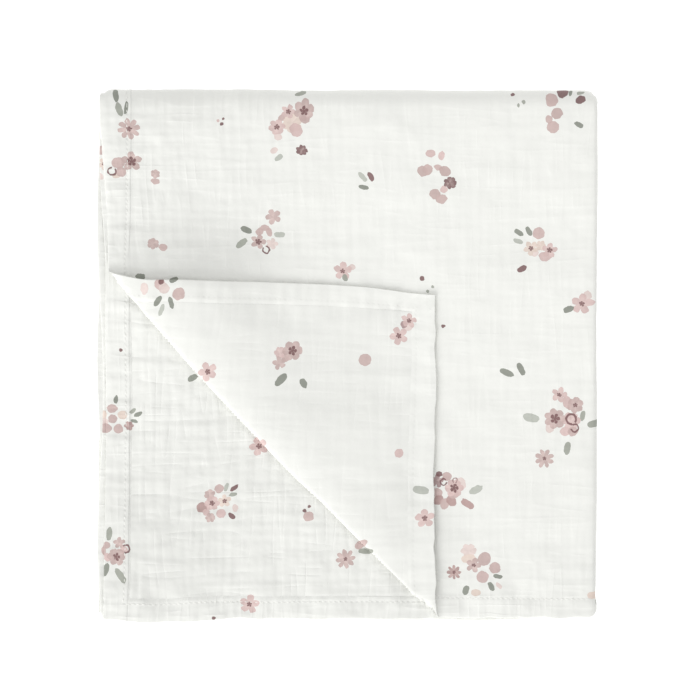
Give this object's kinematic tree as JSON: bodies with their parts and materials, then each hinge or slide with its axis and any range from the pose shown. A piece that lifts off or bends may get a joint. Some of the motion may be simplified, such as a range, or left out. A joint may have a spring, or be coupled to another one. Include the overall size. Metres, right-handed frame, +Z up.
{
  "type": "folded swaddle blanket",
  "caption": "Muslin swaddle blanket folded into a layered packet with a corner of its top layer turned back, printed with scattered flowers and leaves.",
  "frame": {"origin": "under the middle of the folded packet, on the surface that it lies on", "axes": "+Z up, +Y towards the thick rolled fold at the far side, +X towards the two thinner folds, the hems at -X and -Y"},
  "size_m": [0.2986, 0.3188, 0.0311],
  "materials": {
    "muslin": "crinkled off-white cotton muslin with a small dusty pink and sage flower print"
  },
  "bodies": {
    "root": {"blanket": "muslin"}
  },
  "joints": []
}
